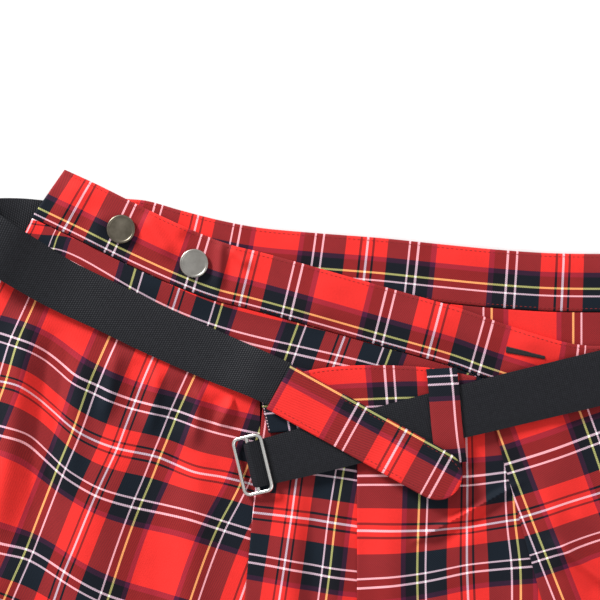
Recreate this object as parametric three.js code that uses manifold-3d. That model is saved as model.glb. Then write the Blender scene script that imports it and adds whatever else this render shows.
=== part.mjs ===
// A pleated tartan wrap kilt with its webbing belt, laid flat, front side up.
// Millimetres, +Z up from the surface, +Y from the hem towards the waist, +X to the wearer's left.
// Every cloth piece is a thin wall. The layers lie on each other with a small gap between them.
// Plan positions are measured from the middle of the waist and centred at the very end.

import * as THREE from 'three';
import { mergeVertices } from 'three/addons/utils/BufferGeometryUtils.js';
import Module from 'manifold-3d';

// ---------- driving dimensions ----------

const CLOTH = 1.2; // skirt panels, one layer of twill with its turnings
const BAND = 2.0; // waistbands, folded double
const STRIP = 1.4; // hip strip
const TAB = 1.6; // pointed belt tab
const WEBBING = 1.2; // nylon webbing
const GAP = 0.3; // between layers that lie on each other
const SEAM_GAP = 0.5; // between panels that meet edge to edge

const BAND_WIDTH = 32;
const LOOP_WIDTH = 17;
const TAB_WIDTH = 28;
const TAB_LENGTH = 114;
const BUTTON_RADIUS = 8;

const FRONT_LEVEL = BAND + 0.4; // underside of the front layer
const LAP = CLOTH + GAP; // how far a pleat's leading edge is raised over its neighbour
const STRIP_LEVEL = FRONT_LEVEL + LAP + CLOTH + GAP;

const COLOURS = {
  tartan: 0xc32a26,
  webbing: 0x26282c,
  metal: 0xb9b6b0,
};

// ---------- small helpers ----------

const mix = (a, b, t) => a + (b - a) * t;
const radians = THREE.MathUtils.degToRad;
const smooth = (x, from, to) => THREE.MathUtils.smoothstep(x, from, to);

const kilt = new THREE.Group();

function addPiece(name, geometry, colour, roughness = 0.85, metalness = 0) {
  const material = new THREE.MeshStandardMaterial({ color: colour, roughness, metalness });
  const mesh = new THREE.Mesh(geometry, material);
  mesh.name = name;
  kilt.add(mesh);
  return mesh;
}

function closedGeometry(positions, indices) {
  const geometry = new THREE.BufferGeometry();
  geometry.setAttribute('position', new THREE.Float32BufferAttribute(positions, 3));
  geometry.setIndex(indices);
  geometry.computeVertexNormals();
  return geometry;
}

// ---------- the belt's run behind the kilt lifts what lies on it ----------

const BACK_RUN = { x0: -187.6, y0: -12.2, x1: 207.6, y1: -70.9 };
const LIFT = WEBBING + 0.4;
const LIFT_PLATEAU = 21;
const LIFT_END = 37;

function lift(x, y) {
  const alongX = BACK_RUN.x1 - BACK_RUN.x0;
  const alongY = BACK_RUN.y1 - BACK_RUN.y0;
  const offset = (x - BACK_RUN.x0) * alongY - (y - BACK_RUN.y0) * alongX;
  const distance = Math.abs(offset) / Math.hypot(alongX, alongY);
  return LIFT * (1 - smooth(distance, LIFT_PLATEAU, LIFT_END));
}

// ---------- cloth walls ----------

// place(across, down) gives a point of the underside, both values running from 0 to 1.
// The upper face repeats those points, moved up by the thickness. keeps(i, j) says which cells
// of the grid are cloth, so that a panel need not be four-sided.
function clothWall(columns, rows, thickness, place, keeps = () => true) {
  const positions = [];
  const indices = [];
  const wide = columns + 1;
  const layer = wide * (rows + 1);
  for (const rise of [0, thickness]) {
    for (let j = 0; j <= rows; j++) {
      for (let i = 0; i <= columns; i++) {
        const point = place(i / columns, j / rows);
        positions.push(point.x, point.y, point.z + rise);
      }
    }
  }
  const isCloth = (i, j) => i >= 0 && j >= 0 && i < columns && j < rows && keeps(i, j);
  const quad = (a, b, c, d) => indices.push(a, b, c, a, c, d);
  const wall = (a, b) => quad(a, b, b + layer, a + layer);
  for (let j = 0; j < rows; j++) {
    for (let i = 0; i < columns; i++) {
      if (!isCloth(i, j)) continue;
      const a = j * wide + i;
      const below = a + wide;
      quad(a, a + 1, below + 1, below);
      quad(a + layer, below + layer, below + 1 + layer, a + 1 + layer);
      if (!isCloth(i, j - 1)) wall(a + 1, a);
      if (!isCloth(i, j + 1)) wall(below, below + 1);
      if (!isCloth(i - 1, j)) wall(a, below);
      if (!isCloth(i + 1, j)) wall(below + 1, a + 1);
    }
  }
  return closedGeometry(positions, indices);
}

// ---------- strips that follow an edge: waistbands and the hip strip ----------

// Each row is a point on the strip's upper edge, with the lean of its cross line from vertical.
const BACK_BAND_EDGE = [
  { x: -184, y: 17.5, lean: 34 },
  { x: -166.7, y: 9.5, lean: 26 },
  { x: -155.6, y: 6, lean: 20 },
  { x: -140.6, y: 4.4, lean: 17 },
  { x: -122, y: -0.8, lean: 15 },
  { x: -100, y: -6.4, lean: 12 },
  { x: -79, y: -10.4, lean: 10 },
  { x: -45, y: -13.6, lean: 8 },
  { x: -11, y: -16.2, lean: 6 },
  { x: 22, y: -19.6, lean: 6 },
  { x: 55.6, y: -22.8, lean: 4 },
  { x: 83, y: -24.6, lean: 3 },
  { x: 109.4, y: -25, lean: 1 },
  { x: 140, y: -24.6, lean: -5 },
  { x: 165, y: -23, lean: -13 },
  { x: 180, y: -22, lean: -23 },
  { x: 189.5, y: -22, lean: -33 },
];

const FRONT_BAND_EDGE = [
  { x: -186, y: 21.7, lean: 34.5 },
  { x: -166.7, y: 12.8, lean: 28 },
  { x: -141, y: 0, lean: 24 },
  { x: -112, y: -13.3, lean: 18 },
  { x: -94, y: -20, lean: 15 },
  { x: -77.8, y: -24, lean: 14 },
  { x: -55.6, y: -30, lean: 13.5 },
  { x: -6.7, y: -43.9, lean: 14 },
  { x: 35.6, y: -56, lean: 15 },
  { x: 57.8, y: -64, lean: 15 },
  { x: 93.9, y: -74.5, lean: 8 },
  { x: 111, y: -76, lean: 0 },
  { x: 133, y: -73, lean: -12 },
  { x: 155.6, y: -60.6, lean: -25 },
  { x: 175, y: -42, lean: -36 },
  { x: 190, y: -24, lean: -34 },
];

const HIP_STRIP_EDGE = [
  { x: -79.5, y: -97, lean: -13.5, width: 28 },
  { x: -52.8, y: -90, lean: -8, width: 33 },
  { x: -38.9, y: -87.8, lean: -6, width: 34 },
  { x: -19.4, y: -86.7, lean: -5, width: 34 },
  { x: 15, y: -88, lean: -3, width: 32 },
  { x: 42, y: -93, lean: -2, width: 26 },
];

// A smooth cross line anywhere along such a table: its upper and lower ends.
function crossLines(rows, width) {
  const edge = new THREE.CatmullRomCurve3(rows.map((r) => new THREE.Vector3(r.x, r.y, r.lean)));
  const widths = new THREE.CatmullRomCurve3(rows.map((r) => new THREE.Vector3(r.width ?? width, 0, 0)));
  return (along) => {
    const top = edge.getPoint(along);
    const reach = widths.getPoint(along).x;
    const lean = radians(top.z);
    return {
      top,
      bottom: new THREE.Vector2(top.x - reach * Math.sin(lean), top.y - reach * Math.cos(lean)),
    };
  };
}

function stripWall(crossLine, columns, rows, thickness, level) {
  return clothWall(columns, rows, thickness, (along, down) => {
    const { top, bottom } = crossLine(along);
    const x = mix(top.x, bottom.x, down);
    const y = mix(top.y, bottom.y, down);
    return { x, y, z: level + lift(x, y) };
  });
}

const backBand = crossLines(BACK_BAND_EDGE, BAND_WIDTH);
const frontBand = crossLines(FRONT_BAND_EDGE, BAND_WIDTH);
const hipStrip = crossLines(HIP_STRIP_EDGE);

addPiece('back_waistband', stripWall(backBand, 30, 3, BAND, 0), COLOURS.tartan);
addPiece('front_waistband', stripWall(frontBand, 32, 3, BAND, FRONT_LEVEL), COLOURS.tartan);
addPiece('hip_strip', stripWall(hipStrip, 12, 2, STRIP, STRIP_LEVEL), COLOURS.tartan);

// ---------- skirt panels ----------

// The height of a band's lower edge above any place along the waist.
function seamUnder(crossLine) {
  const samples = [];
  for (let i = 0; i <= 200; i++) samples.push(crossLine(i / 200).bottom);
  return (x) => {
    const next = samples.findIndex((p) => p.x > x);
    if (next === 0) return samples[0].y;
    if (next < 0) return samples[samples.length - 1].y;
    const [p, q] = [samples[next - 1], samples[next]];
    return mix(p.y, q.y, (x - p.x) / (q.x - p.x));
  };
}

const frontSeam = seamUnder(frontBand);
const backSeam = seamUnder(backBand);
const HIP_SEAM = -107.2; // the pleats hang from here, behind the hip strip

// A panel runs straight from its top line to its hem. Its leading edge, on the left, is raised
// where it laps over its neighbour, and its right margin passes under the next panel.
const PANELS = [
  {
    name: 'front_pleat_1', top: 'hip', lapped: true, columns: 10, rows: 12,
    leftTop: [-76.1, -107.2], rightTop: [-15.6, -107.2], leftHem: [-103.9, -405], rightHem: [0.6, -417.2],
  },
  {
    name: 'front_pleat_2', top: 'hip', lapped: true, columns: 10, rows: 12,
    leftTop: [-23.9, -107.2], rightTop: [56.7, -107.2], leftHem: [-24.4, -418.3], rightHem: [158.9, -406.1],
  },
  {
    name: 'front_pleat_3', top: 'hip', lapped: true, columns: 10, rows: 12,
    leftTop: [48.3, -107.2], rightTop: [136, -107.2], leftHem: [131.1, -410.6], rightHem: [270, -366],
  },
  {
    name: 'front_pleat_4', top: 'band', lapped: true, columns: 12, rows: 14,
    leftTop: [126.7, -107.2], rightTop: [206.7, -51.7], leftHem: [243.3, -372.8], rightHem: [369.4, -334.4],
  },
];

const LAP_FLAT = 0.34; // share of a panel's width that stays raised
const LAP_DOWN = 0.5; // where it has come down to the layer beneath
const ROW_CROWDING = 1.25; // rows lie closer together near the waist
const HEM_BOW = 4; // how far a hem bows down between its corners

function panelWall(panel) {
  return clothWall(panel.columns, panel.rows, CLOTH, (across, down) => {
    const topX = mix(panel.leftTop[0], panel.rightTop[0], across);
    const bandY = frontSeam(topX) - SEAM_GAP;
    const topY = panel.top === 'hip' ? Math.min(HIP_SEAM, bandY) : bandY;
    const hemX = mix(panel.leftHem[0], panel.rightHem[0], across);
    const hemY = mix(panel.leftHem[1], panel.rightHem[1], across) - HEM_BOW * Math.sin(Math.PI * across);
    const share = down ** ROW_CROWDING;
    const x = mix(topX, hemX, share);
    const y = mix(topY, hemY, share);
    const raised = panel.lapped ? LAP * (1 - smooth(across, LAP_FLAT, LAP_DOWN)) : 0;
    return { x, y, z: FRONT_LEVEL + raised + lift(x, y) };
  });
}

for (const panel of PANELS) addPiece(panel.name, panelWall(panel), COLOURS.tartan);

// The apron hangs from the front band. Its upper corner reaches right, behind the hip strip and down
// to the line that the pleats hang from. Below that line it ends under the first pleat.
const APRON = {
  columns: 12, rows: 21, leftTop: [-203.9, -5], rightTop: [-64.4, -63],
  leftHem: [-354.4, -301], rightHem: [-78.9, -403.3],
};
const CORNER = { columns: 8, rows: 4, right: 68, tip: 3 };

function apronPoint(across, down) {
  const topX = mix(APRON.leftTop[0], APRON.rightTop[0], across);
  const hemX = mix(APRON.leftHem[0], APRON.rightHem[0], across);
  const hemY = mix(APRON.leftHem[1], APRON.rightHem[1], across) - HEM_BOW * Math.sin(Math.PI * across);
  const share = down ** ROW_CROWDING;
  return { x: mix(topX, hemX, share), y: mix(frontSeam(topX) - SEAM_GAP, hemY, share) };
}

function cornerPoint(across, down) {
  const share = (down * APRON.rows / CORNER.rows) ** ROW_CROWDING;
  const x = mix(apronPoint(1, down).x, CORNER.right, across);
  const top = frontSeam(x) - SEAM_GAP;
  const bottom = Math.min(HIP_SEAM + 2 * SEAM_GAP, top - CORNER.tip);
  return { x, y: mix(top, bottom, share) };
}

const apronShare = APRON.columns / (APRON.columns + CORNER.columns);
addPiece('front_apron', clothWall(
  APRON.columns + CORNER.columns,
  APRON.rows,
  CLOTH,
  (across, down) => {
    const inCorner = across > apronShare + 1e-6;
    const point = inCorner
      ? cornerPoint((across - apronShare) / (1 - apronShare), down)
      : apronPoint(across / apronShare, down);
    return { ...point, z: FRONT_LEVEL + lift(point.x, point.y) };
  },
  (i, j) => i < APRON.columns || j < CORNER.rows,
), COLOURS.tartan);

// The back hangs from its own band and ends a little above the front's hem.
const BACK_EDGES = { leftTop: -202, rightTop: 206, leftHem: -349, rightHem: 364 };
const BACK_HEM = { sides: -296, tilt: -22, sag: 84 };

addPiece('back_skirt', clothWall(24, 13, CLOTH, (across, down) => {
  const topX = mix(BACK_EDGES.leftTop, BACK_EDGES.rightTop, across);
  const topY = backSeam(topX) - SEAM_GAP;
  const hemX = mix(BACK_EDGES.leftHem, BACK_EDGES.rightHem, across);
  const hemY = BACK_HEM.sides + BACK_HEM.tilt * across - BACK_HEM.sag * Math.sin(Math.PI * across);
  const share = down ** ROW_CROWDING;
  const x = mix(topX, hemX, share);
  const y = mix(topY, hemY, share);
  return { x, y, z: lift(x, y) };
}), COLOURS.tartan);

// ---------- ribbons: webbing and the belt loop ----------

// Each row is a point on the ribbon's middle line, with the lean of its cross line and its width.
function ribbon(rows, steps, thickness) {
  const route = new THREE.CatmullRomCurve3(rows.map((r) => new THREE.Vector3(r.x, r.y, r.z)));
  const shape = new THREE.CatmullRomCurve3(rows.map((r) => new THREE.Vector3(r.lean, r.width, 0)));
  const positions = [];
  const indices = [];
  for (let i = 0; i <= steps; i++) {
    const along = i / steps;
    const centre = route.getPoint(along);
    const tangent = route.getTangent(along);
    const { x: lean, y: width } = shape.getPoint(along);
    const across = new THREE.Vector3(Math.sin(radians(lean)), Math.cos(radians(lean)), 0);
    const normal = new THREE.Vector3().crossVectors(tangent, across).normalize();
    for (const [side, face] of [[-1, -1], [1, -1], [1, 1], [-1, 1]]) {
      const corner = centre.clone().addScaledVector(across, (side * width) / 2);
      corner.addScaledVector(normal, (face * thickness) / 2);
      positions.push(corner.x, corner.y, corner.z);
    }
  }
  for (let i = 0; i < steps; i++) {
    for (let k = 0; k < 4; k++) {
      const a = i * 4 + k;
      const b = i * 4 + ((k + 1) % 4);
      indices.push(a, b + 4, a + 4, a, b, b + 4);
    }
  }
  const last = steps * 4;
  indices.push(0, 2, 1, 0, 3, 2);
  indices.push(last, last + 1, last + 2, last, last + 2, last + 3);
  return closedGeometry(positions, indices);
}

// The left end, from under the tab, round the side in a loose standing loop, to behind the kilt.
const LEFT_WEBBING = [
  { x: -66, y: -97.5, z: 7.8, lean: 27, width: 26.4 },
  { x: -80, y: -91.2, z: 7.8, lean: 26, width: 26.5 },
  { x: -96, y: -84.7, z: 6, lean: 26, width: 27.4 },
  { x: -111, y: -78.2, z: 5.4, lean: 26, width: 27.8 },
  { x: -136, y: -67, z: 5.8, lean: 27, width: 28 },
  { x: -161, y: -54.8, z: 6.6, lean: 27, width: 28 },
  { x: -188, y: -42, z: 7.6, lean: 28, width: 28.6 },
  { x: -205, y: -31.8, z: 11, lean: 28, width: 29.6 },
  { x: -219, y: -23, z: 15.6, lean: 26, width: 30 },
  { x: -229, y: -15.5, z: 15.4, lean: 22, width: 30 },
  { x: -233, y: -11, z: 9.6, lean: 18, width: 30 },
  { x: -228, y: -9, z: 3.6, lean: 14, width: 30 },
  { x: -216, y: -8.8, z: 0.9, lean: 11, width: 30 },
  { x: -203, y: -9.8, z: 0.65, lean: 9, width: 30 },
  { x: -188, y: -12.1, z: 0.65, lean: 8.5, width: 30 },
];
addPiece('webbing_left', ribbon(LEFT_WEBBING, 52, WEBBING), COLOURS.webbing, 0.7);

// The run behind the kilt, on the surface.
const BACK_WEBBING = [
  { x: BACK_RUN.x0, y: BACK_RUN.y0, z: 0.65, lean: 8.5, width: 30 },
  { x: BACK_RUN.x1, y: BACK_RUN.y1, z: 0.65, lean: 8.5, width: 30 },
];
addPiece('webbing_back', ribbon(BACK_WEBBING, 12, WEBBING), COLOURS.webbing, 0.7);

// The right end wraps the buckle's middle bar, with a short tail sewn back under itself.
const STRAP_HEADING = 13.5; // the right run rises this many degrees towards the right
const BAR = { x: -81.8, y: -141.7, z: 8.1, radius: 1.1 };
const WRAP_RADIUS = BAR.radius + GAP + WEBBING / 2;
const strapDirection = [Math.cos(radians(STRAP_HEADING)), Math.sin(radians(STRAP_HEADING))];

function besideBar(distance, z, width) {
  const x = BAR.x + strapDirection[0] * distance;
  const y = BAR.y + strapDirection[1] * distance;
  return { x, y, z, lean: -STRAP_HEADING, width };
}

const RIGHT_WEBBING = [
  besideBar(20, BAR.z - WRAP_RADIUS, 21),
  besideBar(11, BAR.z - WRAP_RADIUS, 21),
];
for (let turn = 0; turn <= 6; turn++) {
  const angle = radians(-90 - 30 * turn);
  const out = WRAP_RADIUS * Math.cos(angle);
  RIGHT_WEBBING.push(besideBar(out, BAR.z + WRAP_RADIUS * Math.sin(angle), mix(21.5, 25.5, turn / 6)));
}
RIGHT_WEBBING.push(
  besideBar(3.4, 9, 25.6),
  besideBar(6.6, 7.75, 25.7),
  besideBar(10, 7.6, 25.8),
  { x: -50.6, y: -134, z: 7.7, lean: -14, width: 27 },
  { x: 0, y: -120.8, z: 7.7, lean: -14, width: 28 },
  { x: 52.8, y: -107.6, z: 7.7, lean: -14, width: 29.5 },
  { x: 110, y: -93.9, z: 7, lean: -13.5, width: 30 },
  { x: 166.7, y: -80.3, z: 7.8, lean: -13, width: 30 },
  { x: 205.6, y: -71.6, z: 8.6, lean: -11, width: 30 },
  { x: 225, y: -68.2, z: 9.4, lean: -7, width: 30 },
  { x: 235.6, y: -67.4, z: 7.6, lean: -3, width: 30 },
  { x: 238.6, y: -68.6, z: 4.3, lean: 1, width: 30 },
  { x: 233, y: -70.6, z: 1.6, lean: 5, width: 30 },
  { x: 222, y: -71.8, z: 0.7, lean: 7.5, width: 30 },
  { x: 208, y: -70.9, z: 0.65, lean: 8.5, width: 30 },
);
addPiece('webbing_right', ribbon(RIGHT_WEBBING, 96, WEBBING), COLOURS.webbing, 0.7);

// The belt loop stands over the right run of webbing.
const BELT_LOOP = [
  { x: 22.6, y: -88.4, z: 7.9, lean: 87, width: LOOP_WIDTH },
  { x: 23.4, y: -95.6, z: 8.9, lean: 87, width: LOOP_WIDTH },
  { x: 24, y: -102, z: 9.3, lean: 87, width: LOOP_WIDTH },
  { x: 25, y: -115, z: 9.3, lean: 86.5, width: LOOP_WIDTH },
  { x: 26.4, y: -128.5, z: 9.2, lean: 86, width: LOOP_WIDTH },
  { x: 27.4, y: -134.5, z: 8, lean: 86, width: LOOP_WIDTH },
  { x: 28.2, y: -140.5, z: 6.3, lean: 86, width: LOOP_WIDTH },
];
addPiece('belt_loop', ribbon(BELT_LOOP, 14, CLOTH), COLOURS.tartan);

// ---------- the pointed tab on the belt's left end ----------

const TAB_START = { x: -67.4, y: -98.5, heading: -29 };
const TAB_TIP = 17; // length of the rounded end
const TAB_RISE = { from: 62, to: 84, low: 8.75, high: 10.3 };

addPiece('tab', clothWall(20, 6, TAB, (along, down) => {
  const run = TAB_LENGTH * along;
  const beyond = Math.max(0, (run - (TAB_LENGTH - TAB_TIP)) / TAB_TIP);
  const half = (TAB_WIDTH / 2) * Math.max(0.12, Math.sqrt(1 - Math.min(1, beyond) ** 2.6));
  const side = half * (1 - 2 * down);
  const heading = radians(TAB_START.heading);
  const x = TAB_START.x + run * Math.cos(heading) - side * Math.sin(heading);
  const y = TAB_START.y + run * Math.sin(heading) + side * Math.cos(heading);
  return { x, y, z: mix(TAB_RISE.low, TAB_RISE.high, smooth(run, TAB_RISE.from, TAB_RISE.to)) };
}), COLOURS.tartan);

// ---------- the buckle: a wire frame with a middle bar ----------

const BUCKLE = { length: 31.6, width: 15.8, corner: 3.2, tilt: 11.5 };
const WIRE_SIDES = 8;

function wireRing(length, width, corner, radius) {
  const outline = new THREE.Shape();
  const [halfX, halfY] = [width / 2, length / 2];
  outline.moveTo(-halfX + corner, -halfY);
  outline.lineTo(halfX - corner, -halfY);
  outline.absarc(halfX - corner, -halfY + corner, corner, -Math.PI / 2, 0);
  outline.lineTo(halfX, halfY - corner);
  outline.absarc(halfX - corner, halfY - corner, corner, 0, Math.PI / 2);
  outline.lineTo(-halfX + corner, halfY);
  outline.absarc(-halfX + corner, halfY - corner, corner, Math.PI / 2, Math.PI);
  outline.lineTo(-halfX, -halfY + corner);
  outline.absarc(-halfX + corner, -halfY + corner, corner, Math.PI, Math.PI * 1.5);
  const steps = 40;
  const route = outline.getSpacedPoints(steps).slice(0, steps);
  const positions = [];
  const indices = [];
  for (let i = 0; i < steps; i++) {
    const before = route[(i + steps - 1) % steps];
    const after = route[(i + 1) % steps];
    const outward = new THREE.Vector2(after.y - before.y, before.x - after.x).normalize();
    for (let k = 0; k < WIRE_SIDES; k++) {
      const angle = (2 * Math.PI * k) / WIRE_SIDES;
      const out = radius * Math.cos(angle);
      positions.push(
        route[i].x + outward.x * out,
        route[i].y + outward.y * out,
        radius * Math.sin(angle),
      );
      const nextRing = ((i + 1) % steps) * WIRE_SIDES;
      const nextSide = (k + 1) % WIRE_SIDES;
      const [a, b] = [i * WIRE_SIDES + k, i * WIRE_SIDES + nextSide];
      const [c, d] = [nextRing + nextSide, nextRing + k];
      indices.push(a, d, c, a, c, b);
    }
  }
  return closedGeometry(positions, indices);
}

const wasm = await Module();
wasm.setup();

function toSolid(geometry) {
  const bare = geometry.clone();
  bare.deleteAttribute('normal');
  bare.deleteAttribute('uv');
  const merged = mergeVertices(bare, 1e-5);
  const vertProperties = new Float32Array(merged.attributes.position.array);
  const triVerts = new Uint32Array(merged.index.array);
  return new wasm.Manifold(new wasm.Mesh({ numProp: 3, vertProperties, triVerts }));
}

function fromSolid(solid) {
  const { vertProperties, triVerts } = solid.getMesh();
  return closedGeometry([...vertProperties], [...triVerts]);
}

const barGeometry = new THREE.CylinderGeometry(BAR.radius, BAR.radius, BUCKLE.length, WIRE_SIDES);
const buckleSolid = toSolid(wireRing(BUCKLE.length, BUCKLE.width, BUCKLE.corner, BAR.radius))
  .add(toSolid(barGeometry));
const buckle = addPiece('buckle', fromSolid(buckleSolid), COLOURS.metal, 0.25, 1);
buckle.position.set(BAR.x, BAR.y, BAR.z);
buckle.rotation.set(0, -radians(BUCKLE.tilt), radians(STRAP_HEADING), 'ZYX');

// ---------- the two metal buttons on the front waistband ----------

const BUTTONS = [
  { name: 'button_1', x: -154.6, y: -11.4 },
  { name: 'button_2', x: -114.2, y: -30.3 },
];

// A domed cap with a rolled rim over a short flange, turned about its own axis.
const BUTTON_PROFILE = [
  [0, 0], [0.62, 0], [0.66, 0.7], [0.93, 0.8], [1, 1.2], [1, 1.8],
  [0.93, 2.35], [0.84, 2.3], [0.76, 2.05], [0.4, 2.3], [0, 2.4],
].map(([out, up]) => new THREE.Vector2(out * BUTTON_RADIUS, up));

for (const { name, x, y } of BUTTONS) {
  const geometry = new THREE.LatheGeometry(BUTTON_PROFILE, 20);
  geometry.rotateX(Math.PI / 2);
  const button = addPiece(name, geometry, COLOURS.metal, 0.3, 1);
  button.position.set(x, y, FRONT_LEVEL + lift(x, y) + BAND + GAP);
}

// ---------- origin: the middle of the footprint, on the surface ----------

kilt.updateMatrixWorld(true);
const box = new THREE.Box3().setFromObject(kilt, true);
const middle = box.getCenter(new THREE.Vector3());
kilt.position.set(-middle.x, -middle.y, -box.min.z);

export default kilt;
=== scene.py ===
# A pleated tartan wrap kilt with a webbing belt, laid flat, front side up.
# Plan positions are in millimetres from the middle of the waist, +X right, +Y towards the waist.

import math

import bmesh
import bpy
import numpy as np
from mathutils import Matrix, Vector


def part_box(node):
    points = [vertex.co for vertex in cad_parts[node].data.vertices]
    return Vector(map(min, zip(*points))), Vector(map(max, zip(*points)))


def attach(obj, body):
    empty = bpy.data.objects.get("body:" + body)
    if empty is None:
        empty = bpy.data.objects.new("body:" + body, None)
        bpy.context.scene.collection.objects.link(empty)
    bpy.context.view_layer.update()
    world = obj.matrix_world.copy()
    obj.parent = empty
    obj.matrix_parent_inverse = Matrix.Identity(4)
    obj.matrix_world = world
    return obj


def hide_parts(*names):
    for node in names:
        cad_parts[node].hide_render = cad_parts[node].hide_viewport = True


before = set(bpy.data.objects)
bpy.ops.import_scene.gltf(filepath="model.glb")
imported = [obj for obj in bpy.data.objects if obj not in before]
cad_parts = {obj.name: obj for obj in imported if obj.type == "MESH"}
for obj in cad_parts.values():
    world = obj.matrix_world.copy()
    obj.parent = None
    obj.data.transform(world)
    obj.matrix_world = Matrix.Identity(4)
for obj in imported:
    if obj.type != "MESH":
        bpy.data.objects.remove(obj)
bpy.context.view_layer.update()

# ---------- sizes shared with the frame ----------

MM = 0.001
CLOTH = 1.2  # one layer of twill with its turnings
BAND = 2.0  # waistbands, folded double
STRIP = 1.4  # hip strip
TAB = 1.6
WEBBING = 1.2
GAP = 0.3  # between layers that lie on each other
BAND_WIDTH = 32.0
WIRE = 1.1  # radius of the buckle's wire
FRONT_LEVEL = BAND + 0.4  # underside of the front layer
LAP = CLOTH + GAP  # how far a pleat's leading edge is raised over its neighbour
STRIP_LEVEL = FRONT_LEVEL + LAP + CLOTH + GAP
SETT = 99.0  # one full repeat of the tartan
PAIR = 24.5  # from the sett's middle to its pair of thin lines

# the buttons' places on the plan; the first one's place in the frame gives the plan's origin
BUTTON_PLAN = {"button_1": (-154.6, -11.4), "button_2": (-114.2, -30.3)}
low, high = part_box("button_1")
ORIGIN = np.array(((low.x + high.x) / 2 / MM - BUTTON_PLAN["button_1"][0],
                   (low.y + high.y) / 2 / MM - BUTTON_PLAN["button_1"][1], 0.0))


def smooth(x, start, end):
    t = np.clip((np.asarray(x, float) - start) / (end - start), 0, 1)
    return t * t * (3 - 2 * t)


def mix(a, b, t):
    return a + (b - a) * t


def lean_axes(degrees):
    """The sine and cosine of a lean."""
    angle = math.radians(degrees)
    return math.sin(angle), math.cos(angle)


# ---------- curves through tables ----------

SHORTEST = 1e-4  # rows closer than this count as one


def curve_point(points, t):
    """A centripetal Catmull-Rom curve through the rows, t from 0 to 1."""
    points = np.asarray(points, float)
    place = min(max(t, 0), 1) * (len(points) - 1)
    i = min(int(place), len(points) - 2)
    w = place - i
    p1, p2 = points[i], points[i + 1]
    p0 = points[i - 1] if i > 0 else 2 * p1 - p2
    p3 = points[i + 2] if i + 2 < len(points) else 2 * p2 - p1
    d0, d1, d2 = (math.sqrt(np.linalg.norm(b - a)) for a, b in ((p0, p1), (p1, p2), (p2, p3)))
    d1 = d1 if d1 > SHORTEST else 1.0
    d0 = d0 if d0 > SHORTEST else d1
    d2 = d2 if d2 > SHORTEST else d1
    m1 = ((p1 - p0) / d0 - (p2 - p0) / (d0 + d1) + (p2 - p1) / d1) * d1
    m2 = ((p2 - p1) / d1 - (p3 - p1) / (d1 + d2) + (p3 - p2) / d2) * d1
    c2 = -3 * p1 + 3 * p2 - 2 * m1 - m2
    c3 = 2 * p1 - 2 * p2 + m1 + m2
    return p1 + m1 * w + c2 * w * w + c3 * w * w * w


def sampled(points, steps=400):
    """The curve as a function of arrays, from evenly spread samples."""
    shares = np.linspace(0, 1, steps + 1)
    values = np.array([curve_point(points, t) for t in shares])
    return lambda t: [np.interp(t, shares, values[:, k]) for k in range(values.shape[1])]


# ---------- the belt's run behind the kilt lifts what lies on it ----------

BACK_RUN = (-187.6, -12.2, 207.6, -70.9)  # its middle line, from left to right
LIFT = WEBBING + 0.4
LIFT_PLATEAU = 21.0  # full lift as far as this from the middle line
LIFT_END = 37.0  # and none beyond this


def beside_line(x, y, line):
    """How far a point is above a line, measured square to it."""
    x0, y0, x1, y1 = line
    return ((x1 - x0) * (y - y0) - (x - x0) * (y1 - y0)) / math.hypot(x1 - x0, y1 - y0)


def lift(x, y):
    return LIFT * (1 - smooth(np.abs(beside_line(x, y, BACK_RUN)), LIFT_PLATEAU, LIFT_END))


# ---------- creases ----------

# Soft ridges and troughs of the front layers: from one point to another, then height and half width.
RIDGES = [
    (-206, -62, -226, -190, 6.0, 9.0), (-189, -66, -203, -175, -2.4, 7.0),
    (-224, -70, -262, -200, 3.0, 9.0), (-176, -82, -186, -160, 3.6, 8.0),
    (-240, -90, -290, -230, -1.6, 10.0), (-157, -78, -164, -118, 3.4, 4.4),
    (-146, -84, -151, -116, -1.4, 4.0), (-134, -88, -139, -126, 3.0, 4.4),
    (-121, -94, -127, -124, -1.3, 3.6), (-111, -98, -115, -132, 3.4, 4.0),
    (-101, -103, -104, -124, -1.4, 3.0), (-92, -104, -101, -121, 4.2, 3.0),
    (-84, -104, -88, -124, 2.0, 2.6), (-160, -120, -196, -300, 3.8, 17.0),
    (-132, -130, -152, -330, -1.2, 12.0), (-112, -126, -126, -350, 3.2, 11.0),
    (-215, -190, -262, -300, 4.2, 17.0), (-300, -240, -322, -300, 3.0, 14.0),
    (-240, -230, -276, -330, -1.0, 12.0), (-60, -160, -66, -330, 2.2, 9.0),
    (-36, -160, -34, -400, 1.8, 8.0), (-48, -160, -46, -260, -0.8, 6.0),
    (-8, -160, 4, -350, 2.6, 10.0), (24, -185, 40, -400, 2.2, 13.0),
    (8, -184, 66, -152, 3.6, 1.7), (14, -188, 62, -160, -0.9, 4.0),
    (30, -160, 44, -190, 1.0, 6.0), (70, -190, 98, -400, 2.0, 12.0),
    (76, -144, 116, -300, 3.2, 10.0), (96, -138, 128, -260, -1.0, 8.0),
    (118, -126, 178, -330, 2.8, 12.0), (84, -184, 126, -216, 4.2, 3.6),
    (84, -200, 112, -216, -0.9, 4.0), (96, -166, 124, -190, 1.6, 5.0),
    (170, -110, 250, -290, 3.4, 12.0), (200, -96, 300, -290, 2.8, 11.0),
    (150, -140, 216, -330, 2.6, 11.0),
]
DEEPEST = 0.9  # how far a trough may go towards the layer beneath
FADE_IN, FADE_OUT = (-0.1, 0.2), (0.7, 1.1)  # shares of its length where a crease rises and dies away

# the middle lines of the belt's front runs, and how far below them the relief begins and is full
LEFT_BELT = (-188, -42, -66, -98)
LEFT_BELT_FADE = (13, 24)
RIGHT_BELT = (-82.8, -141.7, 166.7, -80.3)
RIGHT_BELT_FADE = (14, 26)
BOTH_BELTS = (-92, -62)  # between these both runs hold the cloth down


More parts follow.
